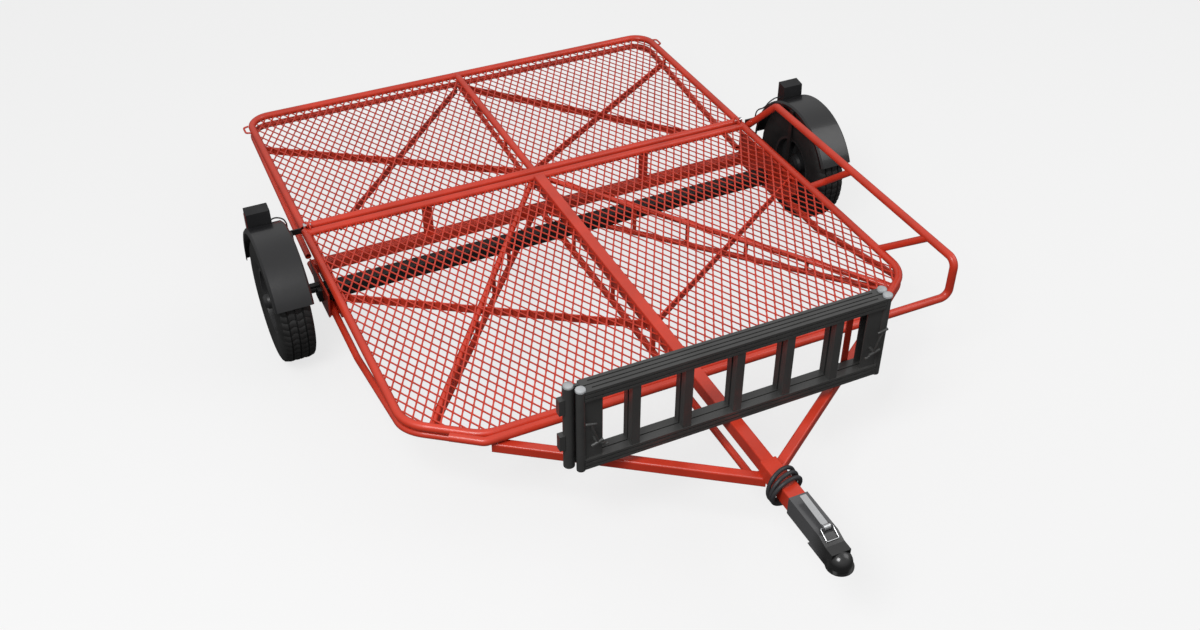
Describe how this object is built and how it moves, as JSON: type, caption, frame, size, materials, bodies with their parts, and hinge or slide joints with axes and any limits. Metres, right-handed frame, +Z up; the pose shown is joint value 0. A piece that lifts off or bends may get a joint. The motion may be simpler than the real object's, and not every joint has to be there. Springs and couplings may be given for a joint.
{
  "type": "utility trailer",
  "caption": "Light single-axle utility trailer with an expanded-metal deck that folds at the middle, a side guard, fenders with lights, stowed ladder ramps and a ball coupler.",
  "frame": {"origin": "on the ground under the centre of the outline", "axes": "+Z up, +Y towards the rear of the deck, -Y towards the ball coupler, +X to the right seen from the coupler"},
  "size_m": [2.092, 2.8204, 0.5924],
  "materials": {
    "red_paint": "glossy",
    "red_mesh": "semi-gloss",
    "black_steel": "satin",
    "fender_black": "glossy",
    "light_case": "satin",
    "light_lens": "glossy",
    "cable_black": "satin",
    "coupler_grey": "glossy",
    "bright_zinc": "bright",
    "forged_steel": "matte",
    "ramp_black": "semi-gloss",
    "cap_grey": "satin",
    "tyre_rubber": "matte",
    "rim_black": "satin",
    "hub_black": "satin"
  },
  "bodies": {
    "chassis": {"front_upper_rail": "red_paint", "front_lower_rail": "red_paint", "front_fold_bar": "red_paint", "cross_chord": "red_paint", "main_spine": "red_paint", "tongue_sleeve": "red_paint", "spine_chord": "red_paint", "tongue_legs": "red_paint", "left_corner_truss": "red_paint", "right_corner_truss": "red_paint", "front_braces": "red_paint", "side_guard_rail": "red_paint", "axle_beam": "black_steel", "left_axle_hanger": "red_paint", "right_axle_hanger": "red_paint", "fixed_hinge_lugs": "red_paint", "hinge_pins": "bright_zinc", "left_front_mesh": "red_mesh", "right_front_mesh": "red_mesh", "fender_stays": "black_steel", "left_fender": "fender_black", "right_fender": "fender_black", "left_light_housing": "light_case", "right_light_housing": "light_case", "left_light_lens": "light_lens", "right_light_lens": "light_lens", "left_light_wire": "cable_black", "right_light_wire": "cable_black", "coupler_body": "coupler_grey", "coupler_bolts": "bright_zinc", "cable_coil": "cable_black", "ramp_uprights": "red_paint"},
    "rear_deck": {"rear_upper_rail": "red_paint", "rear_lower_rail": "red_paint", "rear_fold_bar": "red_paint", "rear_centre_beam": "red_paint", "rear_braces": "red_paint", "left_rear_mesh": "red_mesh", "right_rear_mesh": "red_mesh", "corner_loops": "red_paint", "moving_hinge_lugs": "red_paint"},
    "left_wheel": {"left_tyre": "tyre_rubber", "left_rim": "rim_black", "left_hub": "hub_black", "left_dust_cap": "hub_black", "left_lug_nuts": "bright_zinc"},
    "right_wheel": {"right_tyre": "tyre_rubber", "right_rim": "rim_black", "right_hub": "hub_black", "right_dust_cap": "hub_black", "right_lug_nuts": "bright_zinc"},
    "latch": {"latch_lever": "bright_zinc"},
    "clamp": {"ball_clamp": "forged_steel"},
    "bail": {"safety_bail": "bright_zinc"},
    "ramps": {"front_ramp": "ramp_black", "rear_ramp": "ramp_black", "ramp_caps": "cap_grey", "ramp_blocks": "ramp_black"},
    "left_pin": {"left_lock_pin": "ramp_black"},
    "right_pin": {"right_lock_pin": "ramp_black"}
  },
  "joints": [
    {"name": "rear_fold", "type": "hinge", "parent": "chassis", "child": "rear_deck", "pos_m": [0, 0.5852, 0.311], "axis": [1, 0, 0], "range_deg": [0, 175]},
    {"name": "left_wheel_spin", "type": "hinge", "parent": "chassis", "child": "left_wheel", "pos_m": [-0.982, 0.3672, 0.209], "axis": [1, 0, 0], "continuous": true},
    {"name": "right_wheel_spin", "type": "hinge", "parent": "chassis", "child": "right_wheel", "pos_m": [0.982, 0.3672, 0.209], "axis": [1, 0, 0], "continuous": true},
    {"name": "latch_turn", "type": "hinge", "parent": "chassis", "child": "latch", "pos_m": [0, -1.2988, 0.3236], "axis": [1, 0, 0], "range_deg": [0, 60]},
    {"name": "clamp_slide", "type": "slide", "parent": "chassis", "child": "clamp", "axis": [0, 1, 0], "range_m": [0, 0.008]},
    {"name": "bail_turn", "type": "hinge", "parent": "chassis", "child": "bail", "pos_m": [0, -1.2988, 0.3236], "axis": [-1, 0, 0], "range_deg": [0, 80]},
    {"name": "ramp_lift", "type": "slide", "parent": "chassis", "child": "ramps", "axis": [0, 0, 1], "range_m": [0, 0.32]},
    {"name": "left_pin_pull", "type": "slide", "parent": "ramps", "child": "left_pin", "axis": [0, -1, 0], "range_m": [0, 0.05]},
    {"name": "right_pin_pull", "type": "slide", "parent": "ramps", "child": "right_pin", "axis": [0, -1, 0], "range_m": [0, 0.05]}
  ],
  "couplings": [
    {"joint": "clamp_slide", "follows": "latch_turn", "m_per_rad": 0.0072}
  ]
}
